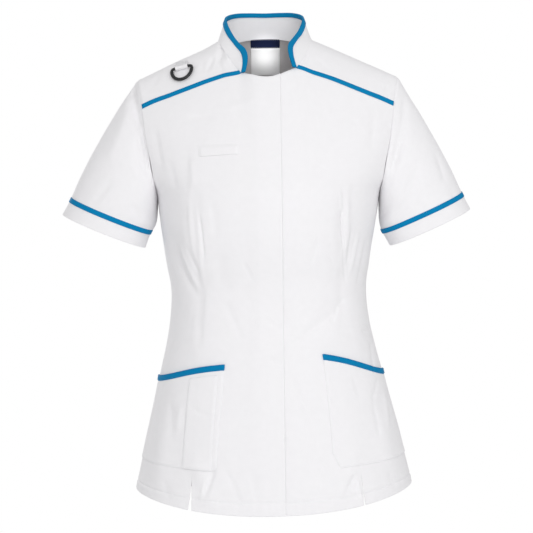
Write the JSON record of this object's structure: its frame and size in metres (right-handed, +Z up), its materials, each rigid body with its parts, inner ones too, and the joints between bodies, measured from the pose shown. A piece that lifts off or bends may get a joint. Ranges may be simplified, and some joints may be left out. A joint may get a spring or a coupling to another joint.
{
  "type": "medical tunic",
  "caption": "Short-sleeved women's medical tunic, filled out as worn, with stand collar, shoulder yokes, blue piping, hip pockets, side vents and a hanging D-shaped ring.",
  "frame": {"origin": "middle of the neck base, at the height where the shoulder seams meet the neck, where the wearer's shoulders hold the garment", "axes": "+Z up, the front faces -Y, the wearer's right is at -X"},
  "size_m": [0.6351, 0.2893, 0.7717],
  "materials": {
    "white_cloth": "matt poly-cotton twill",
    "blue_trim": "smooth, slightly shiny woven trim",
    "label_cloth": "smooth woven label",
    "label_band": "smooth woven label",
    "ring_plastic": "black moulded plastic"
  },
  "bodies": {
    "tunic": {"back": "white_cloth", "front_right": "white_cloth", "front_left": "white_cloth", "yoke_right": "white_cloth", "yoke_left": "white_cloth", "sleeve_right": "white_cloth", "sleeve_left": "white_cloth", "cuff_right": "white_cloth", "cuff_left": "white_cloth", "collar": "white_cloth", "collar_binding": "blue_trim", "yoke_piping_right": "blue_trim", "yoke_piping_left": "blue_trim", "cuff_piping_right": "blue_trim", "cuff_piping_left": "blue_trim", "hip_pocket_right": "white_cloth", "hip_pocket_left": "white_cloth", "pocket_piping_right": "blue_trim", "pocket_piping_left": "blue_trim", "pen_pocket": "white_cloth", "chest_welt": "white_cloth", "ring_tab": "white_cloth", "neck_label": "label_cloth", "neck_label_band": "label_band"},
    "d_ring": {"ring": "ring_plastic"}
  },
  "joints": [
    {"name": "ring_swing", "type": "hinge", "parent": "tunic", "child": "d_ring", "pos_m": [-0.13328, -0.04772, -0.04403], "axis": [-0.9523, 0.2453, -0.1812], "range_deg": [0, 150]}
  ]
}
